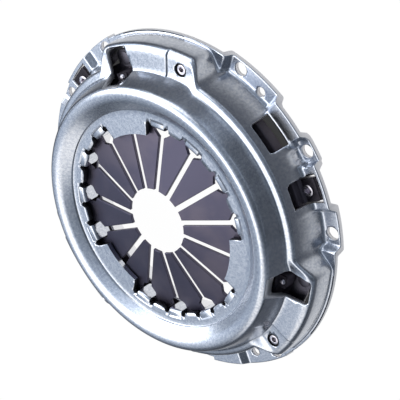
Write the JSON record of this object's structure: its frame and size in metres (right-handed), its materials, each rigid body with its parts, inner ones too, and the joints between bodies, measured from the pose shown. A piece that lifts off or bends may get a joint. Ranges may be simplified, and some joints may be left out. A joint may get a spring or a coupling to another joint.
{
  "type": "clutch pressure plate",
  "caption": "Push-type clutch pressure plate: pressed cover with raised lobes and flywheel bolt pads, diaphragm spring with slotted fingers, and a sprung cast-iron plate behind.",
  "frame": {"origin": "centre of the flywheel bolt circle, in the plane of the bolt pads that sit on the flywheel", "axes": "+Z along the clutch axis, from the flywheel towards the release bearing; +X through a slot between two spring fingers, with the middle of one raised lobe 58 degrees from it towards +Y"},
  "size_m": [0.2377, 0.239, 0.0421],
  "materials": {
    "cover_steel": "satin pressed steel",
    "spring_steel": "dark oil-hardened satin",
    "plate_iron": "as cast, with ground friction face",
    "wire_steel": "drawn wire",
    "strap_steel": "satin spring steel",
    "clip_steel": "satin",
    "rivet_steel": "bright",
    "dark_steel": "blackened satin"
  },
  "bodies": {
    "cover": {"clutch_cover": "cover_steel", "diaphragm_spring": "spring_steel", "upper_fulcrum_ring": "wire_steel", "lower_fulcrum_ring": "wire_steel", "strap_1_leaf_a": "strap_steel", "strap_1_leaf_b": "strap_steel", "strap_1_leaf_c": "strap_steel", "strap_2_leaf_a": "strap_steel", "strap_2_leaf_b": "strap_steel", "strap_2_leaf_c": "strap_steel", "strap_3_leaf_a": "strap_steel", "strap_3_leaf_b": "strap_steel", "strap_3_leaf_c": "strap_steel", "strap_cover_rivet_1": "rivet_steel", "strap_cover_rivet_2": "rivet_steel", "strap_cover_rivet_3": "rivet_steel"},
    "plate": {"pressure_plate": "plate_iron", "strap_plate_rivet_1": "rivet_steel", "strap_plate_rivet_2": "rivet_steel", "strap_plate_rivet_3": "rivet_steel", "retraction_clip_1": "clip_steel", "retraction_clip_2": "clip_steel", "retraction_clip_3": "clip_steel", "clip_rivet_1": "rivet_steel", "clip_rivet_2": "rivet_steel", "clip_rivet_3": "rivet_steel", "lug_plate_1": "dark_steel", "lug_plate_2": "dark_steel", "lug_plate_3": "dark_steel", "lug_rivet_1": "rivet_steel", "lug_rivet_2": "rivet_steel", "lug_rivet_3": "rivet_steel"}
  },
  "joints": [
    {"name": "plate_lift", "type": "slide", "parent": "cover", "child": "plate", "axis": [0, 0, 1], "range_m": [0, 0.0036], "stiffness_N_per_m": 20000, "springref_m": -0.001, "deforming": ["diaphragm_spring", "strap_1_leaf_a", "strap_1_leaf_b", "strap_1_leaf_c", "strap_2_leaf_a", "strap_2_leaf_b", "strap_2_leaf_c", "strap_3_leaf_a", "strap_3_leaf_b", "strap_3_leaf_c"]}
  ]
}
